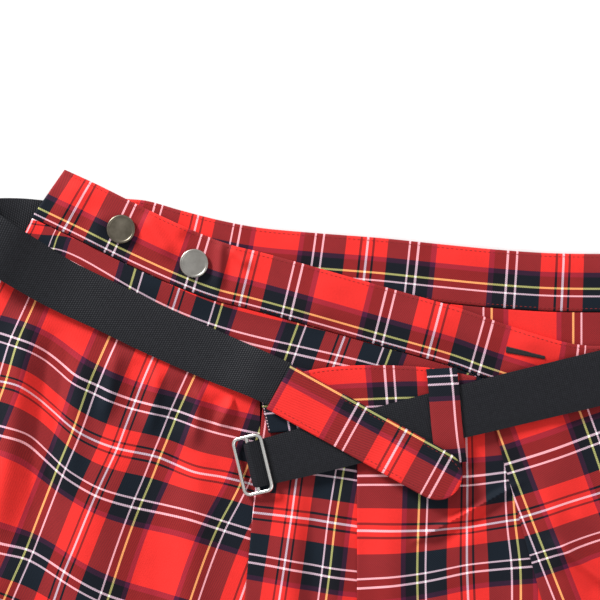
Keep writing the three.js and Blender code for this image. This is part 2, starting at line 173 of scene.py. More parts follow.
def crease(x, y, rows):
    """The height that a table of ridges and troughs adds."""
    total = np.zeros(np.shape(x))
    for x0, y0, x1, y1, height, half in rows:
        length = math.hypot(x1 - x0, y1 - y0)
        ux, uy = (x1 - x0) / length, (y1 - y0) / length
        along = (x - x0) * ux + (y - y0) * uy
        beside = (y - y0) * ux - (x - x0) * uy
        rising = smooth(along, *[share * length for share in FADE_IN])
        dying = smooth(along, *[share * length for share in FADE_OUT])
        total += height * rising * (1 - dying) * np.exp(-(beside / half) ** 2)
    return total


def relief(x, y):
    """Height that the front layers share, so that they stay apart. It dies away under the belt."""
    below_left = smooth(-beside_line(x, y, LEFT_BELT), *LEFT_BELT_FADE)
    below_right = smooth(-beside_line(x, y, RIGHT_BELT), *RIGHT_BELT_FADE)
    right_part = np.where(x < BOTH_BELTS[1], below_left * below_right, below_right)
    free = np.where(x < BOTH_BELTS[0], below_left, right_part)
    return np.maximum(crease(x, y, RIDGES) * free, -DEEPEST)


# ---------- where the tartan lies on a piece ----------

def grain(centre, lean, cross_lean=None):
    """A straight chart: the sett's middle at centre, its lengthwise lines leaning right by lean degrees."""
    s, c = lean_axes(lean)
    cross_s, cross_c = lean_axes(lean if cross_lean is None else cross_lean)

    def weave(x, y, *_):
        dx, dy = x - centre[0], y - centre[1]
        return dx * c - dy * s, dx * cross_s + dy * cross_c
    return weave


SMOOTHING = 60  # how freely a bent chart may pass beside its crossings
TINY = 1e-12


def kernel(d2):
    """The thin plate's bending around one place, from the squared distance to it."""
    return np.where(d2 > TINY, d2 * np.log(np.maximum(d2, TINY)), 0)


def bent_grain(crossings, far, outer_chart):
    """A smooth chart through line crossings (x, y, u, v). It joins the outer chart at the far places."""
    rows = list(crossings) + [(x, y, *outer_chart(x, y)) for x, y in far]
    table = np.array(rows, float)
    places, charted = table[:, :2], table[:, 2:]
    gaps = ((places[:, None] - places[None]) ** 2).sum(-1)
    ones = np.hstack((np.ones((len(places), 1)), places))
    bending = kernel(gaps) + np.eye(len(places)) * SMOOTHING
    left = np.block([[bending, ones], [ones.T, np.zeros((3, 3))]])
    answer = np.linalg.solve(left, np.vstack((charted, np.zeros((3, 2)))))

    def weave(x, y, *_):
        shape = np.shape(x)
        at = np.stack((np.ravel(x), np.ravel(y)), 1)
        out = kernel(((at[:, None] - places[None]) ** 2).sum(-1)) @ answer[:-3]
        out += np.hstack((np.ones((len(at), 1)), at)) @ answer[-3:]
        return out[:, 0].reshape(shape), out[:, 1].reshape(shape)
    return weave


# ---------- cloth ----------

EDGE_STEPS = ((0.0, 0.3), (0.35, 0.72), (0.9, 0.94))  # distance from an edge, share of the thickness
EDGE_END = 1.8  # full thickness from here on


def soft_steps(count, length):
    """Evenly spread steps with closer ones at both ends, and the cloth's share of thickness at each."""
    ends = [d / length for d, _ in EDGE_STEPS]
    shares = [s for _, s in EDGE_STEPS]
    middle = np.linspace(EDGE_END / length, 1 - EDGE_END / length, max(2, count - 4))
    places = np.concatenate((ends, middle, [1 - e for e in reversed(ends)]))
    thick = np.concatenate((shares, np.ones(len(middle)), shares[::-1]))
    return places, thick


def cloth_wall(name, size, counts, thickness, place, weave, keeps=None):
    """A closed thin wall with soft edges. place and weave take arrays of across and down, 0 to 1."""
    across, thick_x = soft_steps(counts[0], size[0])
    down, thick_y = soft_steps(counts[1], size[1])
    a, d = np.meshgrid(across, down)
    x, y, z = place(a, d)
    u, v = weave(x, y, a, d)
    wall = thickness * np.minimum(thick_x[None, :], thick_y[:, None])
    under = np.stack((x, y, z + (thickness - wall) / 2), -1)
    top = np.stack((x, y, z + (thickness + wall) / 2), -1)
    rows, wide = x.shape
    kept = np.ones((rows - 1, wide - 1), bool) if keeps is None else keeps(a[:-1, :-1], d[:-1, :-1])
    layer = rows * wide
    at = np.arange(layer).reshape(rows, wide)
    quads = [np.stack((at[:-1, :-1], at[:-1, 1:], at[1:, 1:], at[1:, :-1]), -1)[kept],
             np.stack((at[:-1, :-1], at[1:, :-1], at[1:, 1:], at[:-1, 1:]), -1)[kept] + layer]
    ring = np.pad(kept, 1)
    sides = (
        (at[:-1, 1:], at[:-1, :-1], ring[:-2, 1:-1]),
        (at[1:, :-1], at[1:, 1:], ring[2:, 1:-1]),
        (at[:-1, :-1], at[1:, :-1], ring[1:-1, :-2]),
        (at[1:, 1:], at[:-1, 1:], ring[1:-1, 2:]),
    )
    for first, second, neighbour in sides:
        open_side = kept & ~neighbour
        p, q = first[open_side], second[open_side]
        quads.append(np.stack((p, q, q + layer, p + layer), -1))
    vertices = np.concatenate((under.reshape(-1, 3), top.reshape(-1, 3)))
    uv = np.tile(np.stack((u, v), -1).reshape(-1, 2), (2, 1))
    return new_mesh(name, vertices, np.concatenate(quads), uv)


def new_mesh(name, vertices, faces, uv, sharp=55):
    """Makes a piece from plan millimetres, with the chart of its weave as a UV map."""
    mesh = bpy.data.meshes.new(name)
    mesh.from_pydata(((np.asarray(vertices) + ORIGIN) * MM).tolist(), [], [list(f) for f in faces])
    layer = mesh.uv_layers.new(name="weave")
    corners = np.empty(len(mesh.loops), int)
    mesh.loops.foreach_get("vertex_index", corners)
    layer.data.foreach_set("uv", np.asarray(uv, float)[corners].ravel())
    made = bmesh.new()
    made.from_mesh(mesh)
    bmesh.ops.delete(made, geom=[v for v in made.verts if not v.link_faces], context="VERTS")
    bmesh.ops.recalc_face_normals(made, faces=made.faces)
    made.to_mesh(mesh)
    made.free()
    mesh.polygons.foreach_set("use_smooth", [True] * len(mesh.polygons))
    mesh.set_sharp_from_angle(angle=math.radians(sharp))
    piece = bpy.data.objects.new(name, mesh)
    bpy.context.scene.collection.objects.link(piece)
    return piece


# ---------- waistbands and the hip strip ----------

# each row: a point of the upper edge, and the lean of the cross line there
BACK_BAND_EDGE = [
    (-184, 17.5, 34), (-166.7, 9.5, 26), (-155.6, 6, 20), (-140.6, 4.4, 17), (-122, -0.8, 15),
    (-100, -6.4, 12), (-79, -10.4, 10), (-45, -13.6, 8), (-11, -16.2, 6), (22, -19.6, 6),
    (55.6, -22.8, 4), (83, -24.6, 3), (109.4, -25, 1), (140, -24.6, -5), (165, -23, -13),
    (180, -22, -23), (189.5, -22, -33),
]
FRONT_BAND_EDGE = [
    (-186, 21.7, 34.5), (-166.7, 12.8, 28), (-141, 0, 24), (-112, -13.3, 18), (-94, -20, 15),
    (-77.8, -24, 14), (-55.6, -30, 13.5), (-6.7, -43.9, 14), (35.6, -56, 15), (57.8, -64, 15),
    (93.9, -74.5, 8), (111, -76, 0), (133, -73, -12), (155.6, -60.6, -25), (175, -42, -36),
    (190, -24, -34),
]
HIP_STRIP_EDGE = [
    (-79.5, -97, -13.5), (-52.8, -90, -8), (-38.9, -87.8, -6), (-19.4, -86.7, -5),
    (15, -88, -3), (42, -93, -2),
]
HIP_STRIP_WIDTHS = [28, 33, 34, 34, 32, 26]

# where the sett's lines cross a band's middle: x, then v
FRONT_BAND_CROSSINGS = [
    (-216, -138), (-195, -116), (-179.2, -99), (-155, -74.5), (-112.8, -PAIR), (-85.3, 0), (-60, PAIR),
    (-8.9, 74.5), (18.9, 99), (44.7, 123.5), (99.4, 173.5), (190, 285),
]
BACK_BAND_CROSSINGS = [
    (-200, -190), (-144, -130), (-93.3, -74.5), (-46.7, -PAIR), (-19.4, 0), (6.1, PAIR), (61.4, 74.5),
    (90, 99), (142, 148.5), (200, 210),
]
HIP_STRIP_CROSSINGS = [(-90, -101), (-61.7, -74.5), (-5, -PAIR), (47.2, PAIR)]
# height above the lower edge, then u
FRONT_BAND_LINES = [(0, 20.0), (2.4, 22.3), (5.9, 26.7), (32, 52)]
BACK_BAND_LINES = [(0, 13.6), (8.4, 22.3), (12.4, 26.7), (32, 47)]
HIP_STRIP_LINES = [(0, 12.0), (11, 22.3), (15, 26.7), (34, 46)]


def strip_lines(rows, widths=None):
    """A function of the share along a strip: its upper point, its lower point and its width there."""
    edge = sampled(rows)
    width = sampled([(w, 0, 0) for w in (widths or [BAND_WIDTH] * len(rows))])

    def lines(along):
        x, y, lean = edge(along)
        reach = width(along)[0]
        lean = np.radians(lean)
        return x, y, x - reach * np.sin(lean), y - reach * np.cos(lean), reach
    return lines


front_lines = strip_lines(FRONT_BAND_EDGE)
back_lines = strip_lines(BACK_BAND_EDGE)
hip_lines = strip_lines(HIP_STRIP_EDGE, HIP_STRIP_WIDTHS)

# dents and puckers of a band: from, to, height, half width
FRONT_BAND_RIDGES = [
    (-142, -4, -126, -27, 3.0, 4.6), (-129, 0, -119, -16, 2.2, 4.4), (-166, -2, -170, -24, 1.4, 4.6),
    (-99, -18, -101, -46, 2.8, 3.0), (-94, -22, -84, -32, 2.2, 2.6), (-176, 14, -188, -6, 1.4, 6.0),
    (-84, -26, -92, -50, 1.0, 4.4), (-40, -38, -44, -66, 1.0, 9.0), (20, -54, 14, -82, 1.0, 10.0),
    (70, -70, 64, -96, 1.2, 8.0),
]
BACK_BAND_RIDGES = [
    (-60, -14, -64, -40, 0.5, 9.0), (30, -22, 30, -50, 0.6, 10.0), (120, -26, 122, -56, 0.5, 9.0),
]


def strip_wall(name, lines, size, counts, thickness, level, crossings, heights, ridges=()):
    crossings, heights = np.array(crossings, float), np.array(heights, float)

    def place(along, down):
        x0, y0, x1, y1, _ = lines(along)
        x, y = mix(x0, x1, down), mix(y0, y1, down)
        return x, y, level + lift(x, y) + crease(x, y, ridges)

    def weave(x, y, along, down):
        x0, _, x1, _, reach = lines(along)
        v = np.interp((x0 + x1) / 2, crossings[:, 0], crossings[:, 1])
        return np.interp(reach * (1 - down), heights[:, 0], heights[:, 1]), v
    return cloth_wall(name, size, counts, thickness, place, weave)


def lower_edge(lines):
    _, _, x, y, _ = lines(np.linspace(0, 1, 201))
    return lambda at: np.interp(at, x, y)


front_seam = lower_edge(front_lines)
back_seam = lower_edge(back_lines)

# ---------- skirt panels ----------

SEAM_GAP = 0.5
HIP_SEAM = -107.2
LAP_FLAT, LAP_DOWN = 0.34, 0.5  # shares of a pleat's width: raised up to the first, down from the second
ROW_CROWDING = 1.25  # rows are closer together near the waist
HEM_BOW = 4.0

# what the upper edge follows, then top left and right, hem left and right
PLEATS = {
    "front_pleat_1": ("hip", (-76.1, -107.2), (-15.6, -107.2), (-103.9, -405), (0.6, -417.2)),
    "front_pleat_2": ("hip", (-23.9, -107.2), (56.7, -107.2), (-24.4, -418.3), (158.9, -406.1)),
    "front_pleat_3": ("hip", (48.3, -107.2), (136, -107.2), (131.1, -410.6), (270, -366)),
    "front_pleat_4": ("band", (126.7, -107.2), (206.7, -51.7), (243.3, -372.8), (369.4, -334.4)),
}
APRON = ((-203.9, -5), (-64.4, -63), (-354.4, -301), (-78.9, -403.3))
# A strip runs right from the apron's upper corner. The apron's grid and the strip's share of it are in
# columns and rows. right is the strip's end, tip its least width, and trim, a share of the apron's
# length, stops the strip short of its lowest row.
APRON_GRID = (12, 21)
CORNER = {"columns": 8, "rows": 4, "right": 68.0, "tip": 3.0, "trim": 0.012}

# line crossings of the tartan: x, y on the plan, then u, v
APRON_CROSSINGS = [
    (-156.7, -132.8, 0, 0), (-178.9, -123.3, -24.5, 0), (-188.9, -115.6, -36.5, 0),
    (-211.1, -97.8, -64.6, 0), (-222.2, -95.6, -75.8, 0), (-135.6, -137.2, 24.5, 0),
    (-113.9, -146.1, 46, 0), (-100, -148.3, 59, 0), (-170.6, -99.4, -24.5, 24.5),
    (-147.8, -108.9, 0, 24.5), (-126.1, -113.9, 24.5, 24.5), (-102.8, -121.7, 49, 24.5),
    (-182.2, -93.9, -37.1, 24.5), (-196.1, -82.2, -54.8, 24.5), (-205.6, -76.7, -65.4, 24.5),
    (-214.4, -73.9, -74.5, 24.5), (-187.8, -144.4, -24.5, -24.5), (-167.8, -156.7, 0, -24.5),
    (-146.1, -163.3, 24.5, -24.5), (-116.7, -169.4, 54, -24.5), (-98.3, -175.6, 74.5, -24.5),
    (-206.7, -127.2, -49.8, -24.5), (-222.2, -122.8, -65.8, -24.5), (-206.1, -191.7, -24.5, -74.5),
    (-187.2, -203.3, 0, -74.5), (-164.4, -216.1, 24.5, -74.5), (-222.2, -188.3, -41, -74.5),
    (-148.3, -46.7, -24.5, 74.5), (-105, -66.1, 24.5, 74.5), (-59.4, -77.8, 74.5, 74.5),
    (-19.4, -87.2, 115.5, 74.5), (-192.2, -22.2, -72.3, 76), (-168.9, -33.9, -47, 75),
    (-190.6, -15.6, -72.3, 87), (-196.5, -13, -86, 91), (-205.6, -8.6, -100, 95),
    (-54.4, -64.4, 74.5, 88.7), (-101.1, -53.3, 24.5, 87.9), (-144.4, -33.9, -24.5, 87.9),
]
PLEAT_1_CROSSINGS = [
    (-60.3, -170.6, 0, 0), (-38.3, -173.9, 24.5, 0), (-81.1, -168.3, -21.5, 0),
    (-64.1, -196.7, 0, -24.5), (-41.4, -201.1, 24.5, -24.5), (-84.4, -193.3, -21, -24.5),
    (-56.7, -143.9, 0, 24.5), (-33.9, -146.7, 24.5, 24.5),
]
PLEAT_2_CROSSINGS = [
    (-23.3, -150.6, -60.3, 24.5), (13.1, -150.6, -24.5, 24.5), (37.2, -151.1, 0, 24.5),
    (60, -148.3, 24.5, 24.5), (-24.4, -178.3, -61, 0), (12.2, -178.3, -24.5, 0),
    (36.9, -176.7, 0, 0), (61.1, -172.8, 24.5, 0), (-24.4, -207.8, -61, -24.5),
    (11.7, -204.4, -24.5, -24.5), (36.9, -199.4, 0, -24.5), (63.9, -196.7, 24.5, -24.5),
]
PLEAT_3_CROSSINGS = [
    (59.3, -144.1, 24.5, 24.5), (107.7, -127.9, 74.5, 24.5), (69.4, -170.3, 24.5, 0),
    (110.4, -157.7, 67.4, 0), (77.9, -192, 24.5, -24.5), (110.4, -181.2, 58.8, -24.5),
]
# each panel's crossings, the far places near its hem, and the straight chart that it joins there
CHARTS = {
    "front_apron": bent_grain(APRON_CROSSINGS, [(-354, -301), (-220, -350), (-79, -403), (-290, -170)],
                              grain((-156.7, -132.8), 22.3)),
    "front_pleat_1": bent_grain(PLEAT_1_CROSSINGS, [(-103.9, -405), (0.6, -417), (-60, -300)],
                                grain((-60.3, -170.6), 9.0)),
    "front_pleat_2": bent_grain(PLEAT_2_CROSSINGS, [(-24.4, -418), (158.9, -406), (60, -300)],
                                grain((36.9, -176.7), -1.0)),
    "front_pleat_3": bent_grain(PLEAT_3_CROSSINGS, [(131, -410), (270, -366), (190, -260)],
                                grain((46.0, -177.7), -21.5, -17.5)),
    "front_pleat_4": grain((160.0, -190.0), -34.0),
}


def panel_point(corners, top_y, across, down):
    """A panel's point from its four corners, with a given upper edge and a bowed hem."""
    (x0, _), (x1, _), (x2, y2), (x3, y3) = corners
    hem_y = mix(y2, y3, across) - HEM_BOW * np.sin(math.pi * across)
    share = down ** ROW_CROWDING
    return mix(mix(x0, x1, across), mix(x2, x3, across), share), mix(top_y, hem_y, share)


def pleat_wall(name, size, counts):
    top, *corners = PLEATS[name]

    def place(across, down):
        band_y = front_seam(mix(corners[0][0], corners[1][0], across)) - SEAM_GAP
        top_y = np.minimum(HIP_SEAM, band_y) if top == "hip" else band_y
        x, y = panel_point(corners, top_y, across, down)
        raised = LAP * (1 - smooth(across, LAP_FLAT, LAP_DOWN))
        return x, y, FRONT_LEVEL + raised + lift(x, y) + relief(x, y)
    return cloth_wall(name + "_cloth", size, counts, CLOTH, place, CHARTS[name])


def apron_wall():
    columns, rows = APRON_GRID
    share = columns / (columns + CORNER["columns"])
    corner_down = CORNER["rows"] / rows

    def main(across, down):
        top_y = front_seam(mix(APRON[0][0], APRON[1][0], across)) - SEAM_GAP
        return panel_point(APRON, top_y, across, down)

    def place(across, down):
        x, y = main(np.minimum(across / share, 1), down)
        beyond = np.clip((across - share) / (1 - share), 0, 1)
        corner_x = mix(main(np.ones_like(down), down)[0], CORNER["right"], beyond)
        top = front_seam(corner_x) - SEAM_GAP
        bottom = np.minimum(HIP_SEAM + 2 * SEAM_GAP, top - CORNER["tip"])
        corner_y = mix(top, bottom, np.minimum(down / corner_down, 1) ** ROW_CROWDING)
        x, y = np.where(across > share, corner_x, x), np.where(across > share, corner_y, y)
        return x, y, FRONT_LEVEL + lift(x, y) + relief(x, y)

    def keeps(across, down):
        return (across < share - 1e-6) | (down < corner_down - CORNER["trim"])

    chart = CHARTS["front_apron"]
    return cloth_wall("front_apron_cloth", (272, 380), (240, 210), CLOTH, place, chart, keeps)


BACK = ((-202, 0), (206, 0), (-349, -296), (364, -318))
BACK_HEM_BOW = 80.0
BACK_CENTRE = (122.8, -113.9)  # the middle of a sett


def back_wall():
    def place(across, down):
        top_y = back_seam(mix(BACK[0][0], BACK[1][0], across)) - SEAM_GAP
        x, y = panel_point(BACK, top_y, across, down)
        y = y - BACK_HEM_BOW * np.sin(math.pi * across) * down ** ROW_CROWDING
        return x, y, lift(x, y)
    return cloth_wall("back_skirt_cloth", (560, 340), (130, 90), CLOTH, place, grain(BACK_CENTRE, 0))


# ---------- ribbons ----------

EDGE_THIN = 0.55  # a ribbon's thickness at its edges, as a share
TANGENT_STEP = 1e-4


def ribbon(name, rows, steps, thickness, chart, across_steps=8):
    """rows: x, y, z of the middle line, the lean of the cross line and the width there."""
    middle = [row[:3] for row in rows]
    crossways = [(row[3], row[4], 0) for row in rows]
    vertices, uv, run, before = [], [], 0.0, None
    face_points = across_steps + 1
    for t in np.linspace(0, 1, steps + 1):
        centre = curve_point(middle, t)
        ahead = curve_point(middle, t + TANGENT_STEP) - curve_point(middle, t - TANGENT_STEP)
        lean, width, _ = curve_point(crossways, t)
        side = np.array((*lean_axes(lean), 0))
        normal = np.cross(ahead / np.linalg.norm(ahead), side)
        normal /= np.linalg.norm(normal)
        run += 0 if before is None else np.linalg.norm(centre - before)
        before = centre
        for face in (-1, 1):
            for k in range(face_points):
                s = (k / across_steps - 0.5) * -face
                thin = thickness * (EDGE_THIN if k in (0, across_steps) else 1)
                vertices.append(centre + side * width * s + normal * thin / 2 * face)
                uv.append(chart(width * s, run))
    ring = 2 * face_points
    faces = []
    for i in range(steps):
        for k in range(ring):
            m = (k + 1) % ring
            faces.append((i * ring + k, i * ring + m, (i + 1) * ring + m, (i + 1) * ring + k))
    for base in (0, steps * ring):
        for k in range(across_steps):
            faces.append((base + k, base + k + 1, base + ring - 2 - k, base + ring - 1 - k))
    return new_mesh(name, vertices, faces, uv)


LEFT_WEBBING = [
    (-66, -97.5, 7.8, 27, 26.4), (-80, -91.2, 7.8, 26, 26.5), (-96, -84.7, 6, 26, 27.4),
    (-111, -78.2, 5.4, 26, 27.8), (-136, -67, 5.8, 27, 28), (-161, -54.8, 6.6, 27, 28),
    (-188, -42, 7.6, 28, 28.6), (-205, -31.8, 11, 28, 29.6), (-219, -23, 15.6, 26, 30),
    (-229, -15.5, 15.4, 22, 30), (-233, -11, 9.6, 18, 30), (-228, -9, 3.6, 14, 30),
    (-216, -8.8, 0.9, 11, 30), (-203, -9.8, 0.65, 9, 30), (-188, -12.1, 0.65, 8.5, 30),
]
BACK_WEBBING = [(-187.6, -12.2, 0.65, 8.5, 30), (207.6, -70.9, 0.65, 8.5, 30)]
STRAP_HEADING = 13.5
BAR = (-81.8, -141.7, 8.1)  # the middle of the buckle's bar
WRAP_RADIUS = WIRE + GAP + WEBBING / 2
WRAP_STEPS = 6


def beside_bar(distance, z, width):
    """A row of the webbing in line with the strap, at a distance from the bar."""
    s, c = lean_axes(STRAP_HEADING)
    return BAR[0] + c * distance, BAR[1] + s * distance, z, -STRAP_HEADING, width


RIGHT_WEBBING = [beside_bar(20, BAR[2] - WRAP_RADIUS, 21), beside_bar(11, BAR[2] - WRAP_RADIUS, 21)]
for turn in range(WRAP_STEPS + 1):
    angle = math.radians(-90 - 180 * turn / WRAP_STEPS)
    wrap_z = BAR[2] + WRAP_RADIUS * math.sin(angle)
    wrap_width = mix(21.5, 25.5, turn / WRAP_STEPS)
    RIGHT_WEBBING.append(beside_bar(WRAP_RADIUS * math.cos(angle), wrap_z, wrap_width))
RIGHT_WEBBING += [
    beside_bar(3.4, 9, 25.6), beside_bar(6.6, 7.75, 25.7), beside_bar(10, 7.6, 25.8),
    (-50.6, -134, 7.7, -14, 27), (0, -120.8, 7.7, -14, 28), (52.8, -107.6, 7.7, -14, 29.5),
    (110, -93.9, 7, -13.5, 30), (166.7, -80.3, 7.8, -13, 30), (205.6, -71.6, 8.6, -11, 30),
    (225, -68.2, 9.4, -7, 30), (235.6, -67.4, 7.6, -3, 30), (238.6, -68.6, 4.3, 1, 30),
    (233, -70.6, 1.6, 5, 30), (222, -71.8, 0.7, 7.5, 30), (208, -70.9, 0.65, 8.5, 30),
]
BELT_LOOP = [
    (22.6, -88.4, 7.9, 87, 17), (23.4, -95.6, 8.9, 87, 17), (24, -102, 9.3, 87, 17),
    (25, -115, 9.3, 86.5, 17), (26.4, -128.5, 9.2, 86, 17), (27.4, -134.5, 8, 86, 17),
    (28.2, -140.5, 6.3, 86, 17),
]


def belt_chart(across, run):
    return across, run


def loop_chart(across, run):
    """The loop is cut where one pair of the sett's lines runs along it."""
    return 0.85 * across + 18.1, run + 18.0


# ---------- the tab ----------

TAB_START = (-67.4, -98.5)
TAB_HEADING = -29
TAB_LENGTH, TAB_WIDTH = 114, 28
TAB_TIP = 17  # length of the rounded end
TAB_ROUNDING = 2.6  # 2 is an ellipse, and more is squarer
TAB_BLUNT = 0.12  # share of the width that is left at the very end
TAB_RISE = (62, 84, 8.75, 10.3)  # its underside goes up over the loop: from, to, low z, high z
TAB_EDGE_U = 25.6  # u at its upper edge
TAB_CROSSINGS = [(0, -66), (34, -35), (45.5, -24.5), (73.2, 0), (99.5, 24.5), (114, 38)]  # run, then v


def tab_side(run, down):
    """How far to the upper side of the tab's middle line a place lies."""
    beyond = np.clip((run - (TAB_LENGTH - TAB_TIP)) / TAB_TIP, 0, 1)
    return TAB_WIDTH / 2 * np.maximum(TAB_BLUNT, np.sqrt(1 - beyond ** TAB_ROUNDING)) * (1 - 2 * down)


def tab_height(run):
    rise_from, rise_to, low_z, high_z = TAB_RISE
    return mix(low_z, high_z, smooth(run, rise_from, rise_to))


def tab_point(run, side):
    s, c = lean_axes(TAB_HEADING)
    return TAB_START[0] + run * c - side * s, TAB_START[1] + run * s + side * c


def tab_wall():
    def place(along, down):
        run = TAB_LENGTH * along
        x, y = tab_point(run, tab_side(run, down))
        return x, y, tab_height(run)

    def weave(x, y, along, down):
        run = TAB_LENGTH * along
        runs, lines = zip(*TAB_CROSSINGS)
        return TAB_EDGE_U + TAB_WIDTH / 2 - tab_side(run, down), np.interp(run, runs, lines)
    return cloth_wall("tab_cloth", (TAB_LENGTH, TAB_WIDTH), (110, 30), TAB, place, weave)


# ---------- metal ----------

def lathe(name, profile, centre, z, turns=72):
    """A turned piece: profile rows are radius and height, from the axis out and back to the axis."""
    vertices, faces = [], []
    n = len(profile)
    for k in range(turns):
        a = 2 * math.pi * k / turns
        vertices += [(centre[0] + r * math.cos(a), centre[1] + r * math.sin(a), z + h) for r, h in profile]
        after = (k + 1) % turns
        faces += [(k * n + i, k * n + i + 1, after * n + i + 1, after * n + i) for i in range(n - 1)]
    piece = new_mesh(name, vertices, faces, [(v[0], v[1]) for v in vertices], sharp=35)
    made = bmesh.new()
    made.from_mesh(piece.data)
    bmesh.ops.remove_doubles(made, verts=made.verts, dist=1e-6)
    bmesh.ops.dissolve_degenerate(made, edges=made.edges, dist=1e-7)
    made.to_mesh(piece.data)
    made.free()
    return piece


BUTTON_PROFILE = [
    (0, 0), (5.0, 0), (5.3, 0.7), (7.3, 0.8), (7.8, 1.0), (8.0, 1.4), (7.95, 1.85), (7.7, 2.2),
    (7.35, 2.36), (7.0, 2.34), (6.75, 2.12), (6.5, 2.0), (5.6, 2.04), (3.6, 2.14), (1.8, 2.2), (0, 2.22),
]
# the frame is measured on the wire's middle line
BUCKLE = {"length": 31.6, "width": 15.8, "corner": 3.2, "tilt": 11.5}
# each corner's side in x and y, where its arc starts, and the heading of the straight after it
BUCKLE_CORNERS = ((1, 1, 0, (-1, 0)), (-1, 1, 90, (0, -1)), (-1, -1, 180, (1, 0)), (1, -1, 270, (0, 1)))
CORNER_STEPS = 8
STRAIGHT_STEPS = 12


def wire_sweep(path, sides=16, closed=True):
    """A round wire along flat points, as vertices and faces."""
    vertices, faces, count = [], [], len(path)
    for i, (x, y) in enumerate(path):
        before = path[i - 1 if closed or i else 0]
        after = path[(i + 1) % count if closed else min(i + 1, count - 1)]
        along = np.array((after[0] - before[0], after[1] - before[1]))
        along /= np.linalg.norm(along)
        for k in range(sides):
            a = 2 * math.pi * k / sides
            out = WIRE * math.cos(a)
            vertices.append((x + along[1] * out, y - along[0] * out, WIRE * math.sin(a)))
    for i in range(count if closed else count - 1):
        for k in range(sides):
            j, m = (i + 1) % count, (k + 1) % sides
            faces.append((i * sides + k, j * sides + k, j * sides + m, i * sides + m))
    if not closed:
        faces += [tuple(range(sides)), tuple((count - 1) * sides + k for k in range(sides))]
    return vertices, faces


def straight_points(start, heading, length):
    """The points between the ends of a straight run."""
    shares = [k / STRAIGHT_STEPS for k in range(1, STRAIGHT_STEPS)]
    return [(start[0] + heading[0] * length * s, start[1] + heading[1] * length * s) for s in shares]


def buckle_frame():
    half_x, half_y, corner = BUCKLE["width"] / 2, BUCKLE["length"] / 2, BUCKLE["corner"]
    path = []
    for side_x, side_y, first, heading in BUCKLE_CORNERS:
        centre_x, centre_y = side_x * (half_x - corner), side_y * (half_y - corner)
        for step in range(CORNER_STEPS + 1):
            a = math.radians(first + 90 * step / CORNER_STEPS)
            path.append((centre_x + corner * math.cos(a), centre_y + corner * math.sin(a)))
        length = 2 * (half_x if heading[0] else half_y) - 2 * corner
        path += straight_points(path[-1], heading, length)
    return path


def buckle_bar():
    half_y = BUCKLE["length"] / 2
    return [(0, mix(-half_y, half_y, k / STRAIGHT_STEPS)) for k in range(STRAIGHT_STEPS + 1)]


def buckle_piece():
    """The frame and the bar, tilted about the bar and turned in line with the strap."""
    ring, ring_faces = wire_sweep(buckle_frame())
    bar, bar_faces = wire_sweep(buckle_bar(), closed=False)
    faces = ring_faces + [tuple(i + len(ring) for i in face) for face in bar_faces]
    x, y, z = np.array(ring + bar).T
    s, c = lean_axes(-BUCKLE["tilt"])
    x, z = x * c + z * s, -x * s + z * c
    s, c = lean_axes(STRAP_HEADING)
    x, y = x * c - y * s, x * s + y * c
    vertices = np.stack((x + BAR[0], y + BAR[1], z + BAR[2]), 1)
    return new_mesh("wire_buckle", vertices, faces, vertices[:, :2], sharp=60)


# ---------- thread ----------

# share of a stitch's length, share of its radius there
STITCH_RINGS = ((0, 0.15), (0.2, 0.9), (0.5, 1.15), (0.8, 0.9), (1, 0.15))
STITCH_SIDES = 6
THREAD_RISE = 0.05  # a stitch's middle line above the cloth


def stitch(start, end, radius, base):
    """One fat short thread, with its faces numbered from base."""
    along = (end - start) / np.linalg.norm(end - start)
    side = np.array((-along[1], along[0], 0)) * radius
    up = np.array((0, 0, radius))
    vertices, faces = [], []
    for t, fat in STITCH_RINGS:
        for k in range(STITCH_SIDES):
            a = 2 * math.pi * k / STITCH_SIDES
            vertices.append(mix(start, end, t) + (side * math.cos(a) + up * math.sin(a)) * fat)
    for i in range(len(STITCH_RINGS) - 1):
        ring = base + i * STITCH_SIDES
        for k in range(STITCH_SIDES):
            m = (k + 1) % STITCH_SIDES
            faces.append((ring + k, ring + m, ring + STITCH_SIDES + m, ring + STITCH_SIDES + k))
    last = base + (len(STITCH_RINGS) - 1) * STITCH_SIDES
    faces += [tuple(end_ring + k for k in range(STITCH_SIDES)) for end_ring in (base, last)]
    return vertices, faces


def stitches(name, runs, pitch=2.6, share=0.62, radius=0.16):
    """Rows of short stitches. Each run is an array of x, y, z points that the row follows."""
    vertices, faces = [], []
    for run in runs:
        run = np.array(run, float)
        gone = np.concatenate(((0,), np.cumsum(np.linalg.norm(np.diff(run, axis=0), axis=1))))
        for place in np.arange(pitch / 2, gone[-1] - pitch, pitch):
            start, end = (np.array([np.interp(place + d, gone, run[:, k]) for k in range(3)])
                          for d in (0, pitch * share))
            more_vertices, more_faces = stitch(start, end, radius, len(vertices))
            vertices += more_vertices
            faces += more_faces
    vertices = np.array(vertices)
    return new_mesh(name, vertices, faces, vertices[:, :2])


def strip_run(lines, level, inset, ridges=(), spread=(0.01, 0.99)):
    """A line on top of a strip, inset from its lower edge (positive) or its upper edge (negative)."""
    x0, y0, x1, y1, reach = lines(np.linspace(*spread, 160))
    down = 1 - inset / reach if inset > 0 else -inset / reach
    x, y = mix(x0, x1, down), mix(y0, y1, down)
    return np.stack((x, y, level + lift(x, y) + crease(x, y, ridges) + THREAD_RISE), 1)


# ---------- materials ----------

# the mixed threads are brightened, then given more contrast
CONTRAST = 1.83
GAIN = 1.5


def thread(*colour):
    """The thread colour that gives this colour where it crosses its own kind."""
    return tuple(c ** (1 / CONTRAST) / GAIN for c in colour)


THREADS = {
    "white": (0.92, 0.75, 0.81),
    "red": thread(0.84, 0.029, 0.024),
    "black": thread(0.004, 0.004, 0.008),
    "green": thread(0.004, 0.009, 0.017),
    "yellow": (0.72, 0.70, 0.36),
    "purple": thread(0.080, 0.008, 0.040),
}
